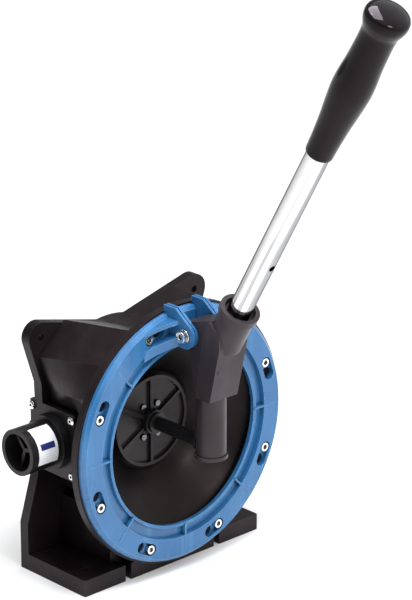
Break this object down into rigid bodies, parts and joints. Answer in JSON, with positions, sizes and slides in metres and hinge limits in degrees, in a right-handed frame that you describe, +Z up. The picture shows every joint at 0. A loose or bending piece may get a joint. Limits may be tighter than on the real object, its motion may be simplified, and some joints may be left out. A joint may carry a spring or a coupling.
{
  "type": "bilge pump",
  "caption": "Hand-operated diaphragm bilge pump: black body with hose ports, blue clamping ring, rocker and a lever handle that works the diaphragm.",
  "frame": {"origin": "centre of the base's underside", "axes": "+Z up, -Y towards the clamping ring and the handle's lean, -X towards the inlet port"},
  "size_m": [0.252, 0.3422, 0.5461],
  "materials": {
    "black_nylon": "glass-filled nylon, satin, slightly brown in the light",
    "rocker_black": "glass-filled nylon, satin",
    "blue_plastic": "moulded acetal, semi-gloss",
    "port_black": "moulded nylon, satin",
    "black_rubber": "nitrile rubber, soft sheen",
    "valve_rubber": "matt rubber",
    "stainless": "polished stainless steel",
    "polished_tube": "drawn and polished tube",
    "brass": "turned brass",
    "grip_black": "dipped vinyl, glossy",
    "dark_steel": "black-coated steel"
  },
  "bodies": {
    "housing": {"pump_body": "black_nylon", "clamping_ring": "blue_plastic", "ring_screws": "stainless", "ring_inserts": "brass", "inlet_port": "port_black", "outlet_port": "port_black", "inlet_port_screws": "stainless", "outlet_port_screws": "stainless", "inlet_gasket": "black_rubber", "outlet_gasket": "black_rubber", "inlet_seat": "port_black", "outlet_seat": "port_black", "inlet_flap_pin": "stainless", "outlet_flap_pin": "stainless", "diaphragm": "black_rubber", "fulcrum_bolt": "stainless", "fulcrum_washers": "stainless", "fulcrum_nut": "stainless"},
    "rocker_arm": {"rocker": "rocker_black", "fulcrum_bushes": "brass"},
    "diaphragm_centre": {"outer_clamp_plate": "black_nylon", "inner_clamp_plate": "black_nylon", "clamp_plate_screws": "stainless", "connecting_rod": "dark_steel", "rod_nut": "stainless", "cross_pin": "stainless"},
    "handle": {"handle_tube": "polished_tube", "handle_grip": "grip_black", "tube_plug": "port_black"},
    "inlet_valve": {"inlet_flap": "valve_rubber"},
    "outlet_valve": {"outlet_flap": "valve_rubber"}
  },
  "joints": [
    {"name": "rocker_swing", "type": "hinge", "parent": "housing", "child": "rocker_arm", "pos_m": [0, -0.077, 0.225], "axis": [1, 0, 0], "range_deg": [-16, 14]},
    {"name": "diaphragm_stroke", "type": "slide", "parent": "housing", "child": "diaphragm_centre", "axis": [0, 1, 0], "range_m": [-0.0295, 0.026], "deforming": ["diaphragm"]},
    {"name": "handle_pull", "type": "slide", "parent": "rocker_arm", "child": "handle", "axis": [0, -0.4955, 0.8686], "range_m": [0, 0.06]},
    {"name": "inlet_flap_swing", "type": "hinge", "parent": "housing", "child": "inlet_valve", "pos_m": [-0.0716, 0.014, 0.1355], "axis": [0, -1, 0], "range_deg": [0, 30]},
    {"name": "outlet_flap_swing", "type": "hinge", "parent": "housing", "child": "outlet_valve", "pos_m": [0.0844, 0.014, 0.1355], "axis": [0, -1, 0], "range_deg": [0, 30]}
  ],
  "couplings": [
    {"joint": "diaphragm_stroke", "follows": "rocker_swing", "m_per_rad": 0.1025}
  ]
}
